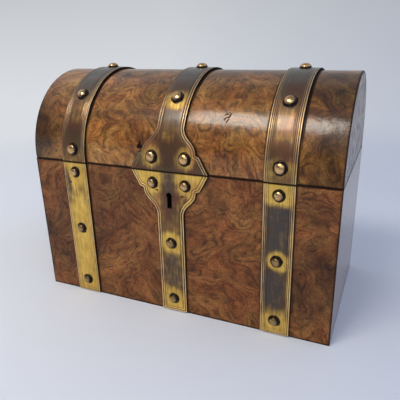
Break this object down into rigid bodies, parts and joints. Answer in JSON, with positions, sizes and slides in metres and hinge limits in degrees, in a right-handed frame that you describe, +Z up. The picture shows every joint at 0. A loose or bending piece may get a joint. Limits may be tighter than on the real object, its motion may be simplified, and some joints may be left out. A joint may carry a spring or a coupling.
{
  "type": "money box",
  "caption": "Dome-topped wooden box with a hinged lid, walnut-veneered and bound with moulded brass straps and domed nails, locked by a sliding bolt.",
  "frame": {"origin": "middle of the underside, on the table, halfway across and through the wooden box", "axes": "+Z up, -Y towards the front with the keyhole, +X towards the right end seen from the front"},
  "size_m": [0.23, 0.1304, 0.1771],
  "materials": {
    "walnut_veneer": "burr walnut veneer, French polished, worn at the arrises",
    "pine": "old pine, planed, unpolished",
    "brass_strap": "rolled moulding, old polish with dark patina",
    "brass_nail": "domed, polished by handling, dark round the rim",
    "lock_brass": "filed flat, dull",
    "lock_steel": "filed and oiled",
    "lining_paper": "paper on card, matt"
  },
  "bodies": {
    "box": {"base_board": "pine", "front_board": "pine", "back_board": "pine", "left_board": "pine", "right_board": "pine", "front_veneer": "walnut_veneer", "back_veneer": "walnut_veneer", "left_veneer": "walnut_veneer", "right_veneer": "walnut_veneer", "floor_lining": "lining_paper", "front_lining": "lining_paper", "back_lining": "lining_paper", "left_lining": "lining_paper", "right_lining": "lining_paper", "left_body_strap": "brass_strap", "middle_body_strap": "brass_strap", "right_body_strap": "brass_strap", "left_body_nails": "brass_nail", "middle_body_nails": "brass_nail", "right_body_nails": "brass_nail", "lock_plate": "lock_brass", "lock_case": "lock_steel", "drill_pin": "lock_steel", "bolt_studs": "lock_steel", "bolt_spring": "lock_steel", "lock_screws": "lock_brass", "left_hinge_body_leaf": "lock_brass", "right_hinge_body_leaf": "lock_brass", "hinge_pins": "lock_steel", "hinge_body_screws": "lock_brass"},
    "lid": {"lid_front_rail": "pine", "lid_back_rail": "pine", "stave_1": "pine", "stave_2": "pine", "stave_3": "pine", "stave_4": "pine", "stave_5": "pine", "stave_6": "pine", "stave_7": "pine", "lid_left_end": "pine", "lid_right_end": "pine", "dome_veneer": "walnut_veneer", "lid_left_veneer": "walnut_veneer", "lid_right_veneer": "walnut_veneer", "dome_lining": "lining_paper", "lid_left_lining": "lining_paper", "lid_right_lining": "lining_paper", "left_lid_strap": "brass_strap", "middle_lid_strap": "brass_strap", "right_lid_strap": "brass_strap", "left_lid_nails": "brass_nail", "middle_lid_nails": "brass_nail", "right_lid_nails": "brass_nail", "link_plate": "lock_brass", "link_plate_screws": "lock_brass", "left_hinge_lid_leaf": "lock_brass", "right_hinge_lid_leaf": "lock_brass", "hinge_lid_screws": "lock_brass"},
    "bolt": {"bolt": "lock_steel"}
  },
  "joints": [
    {"name": "lid_hinge", "type": "hinge", "parent": "box", "child": "lid", "pos_m": [0, 0.0629, 0.11], "axis": [-1, 0, 0], "range_deg": [0, 95]},
    {"name": "bolt_slide", "type": "slide", "parent": "box", "child": "bolt", "axis": [1, 0, 0], "range_m": [0, 0.005]}
  ]
}
